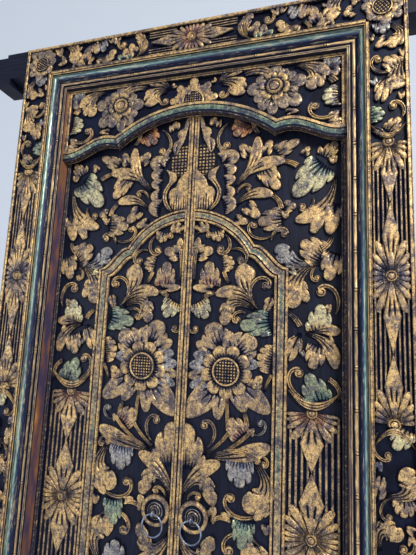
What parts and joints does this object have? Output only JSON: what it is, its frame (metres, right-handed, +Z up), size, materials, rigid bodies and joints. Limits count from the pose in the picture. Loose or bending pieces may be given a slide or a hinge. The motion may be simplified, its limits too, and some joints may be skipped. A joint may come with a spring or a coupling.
{
  "type": "carved temple door",
  "caption": "Double-leaf carved and gilded door in its frame, with a cusped header panel, beaded mouldings, wooden pivots, pull rings and a wooden bolt.",
  "frame": {"origin": "on the floor, under the middle of the door's box", "axes": "+X to the right seen from the front, -Y towards the viewer, +Z up"},
  "size_m": [1.52, 0.151, 2.527],
  "materials": {
    "dark_timber": "near-black navy paint over hardwood, satin, dusty",
    "gilt_carving": "worn gold paint on carved relief over a navy ground",
    "painted_moulding": "worn green and navy paint with gold lines",
    "turned_rosette": "turned wood, gold rim and navy hollow",
    "bare_timber": "oiled hardwood",
    "iron": "plain grey steel wire, a little dull"
  },
  "bodies": {
    "frame": {"head_beam": "dark_timber", "sill_beam": "dark_timber", "left_post": "dark_timber", "right_post": "dark_timber", "head_board": "gilt_carving", "left_jamb_board": "gilt_carving", "right_jamb_board": "gilt_carving", "head_moulding": "painted_moulding", "left_moulding": "painted_moulding", "right_moulding": "painted_moulding", "header_panel": "gilt_carving"},
    "left_door": {"left_leaf": "gilt_carving", "left_top_pivot": "bare_timber", "left_bottom_pivot": "bare_timber", "left_upper_ledge": "dark_timber", "left_lower_ledge": "dark_timber", "left_rosette": "turned_rosette", "left_eye": "iron", "left_washer": "iron", "inner_staple": "bare_timber", "outer_staple": "bare_timber"},
    "right_door": {"right_leaf": "gilt_carving", "right_top_pivot": "bare_timber", "right_bottom_pivot": "bare_timber", "right_upper_ledge": "dark_timber", "right_lower_ledge": "dark_timber", "right_rosette": "turned_rosette", "right_eye": "iron", "right_washer": "iron", "bolt_keeper": "bare_timber"},
    "left_pull": {"left_ring": "iron"},
    "right_pull": {"right_ring": "iron"},
    "sliding_bolt": {"bolt": "bare_timber"}
  },
  "joints": [
    {"name": "left_leaf_hinge", "type": "hinge", "parent": "frame", "child": "left_door", "pos_m": [-0.455, 0.0175, 1.2], "axis": [0, 0, 1], "range_deg": [0, 90]},
    {"name": "right_leaf_hinge", "type": "hinge", "parent": "frame", "child": "right_door", "pos_m": [0.455, 0.0175, 1.2], "axis": [0, 0, -1], "range_deg": [0, 90]},
    {"name": "left_ring_swing", "type": "hinge", "parent": "left_door", "child": "left_pull", "pos_m": [-0.055, -0.0255, 1.06], "axis": [-1, 0, 0], "range_deg": [0, 110]},
    {"name": "right_ring_swing", "type": "hinge", "parent": "right_door", "child": "right_pull", "pos_m": [0.055, -0.0255, 1.06], "axis": [-1, 0, 0], "range_deg": [0, 110]},
    {"name": "bolt_slide", "type": "slide", "parent": "left_door", "child": "sliding_bolt", "axis": [1, 0, 0], "range_m": [0, 0.07]}
  ]
}
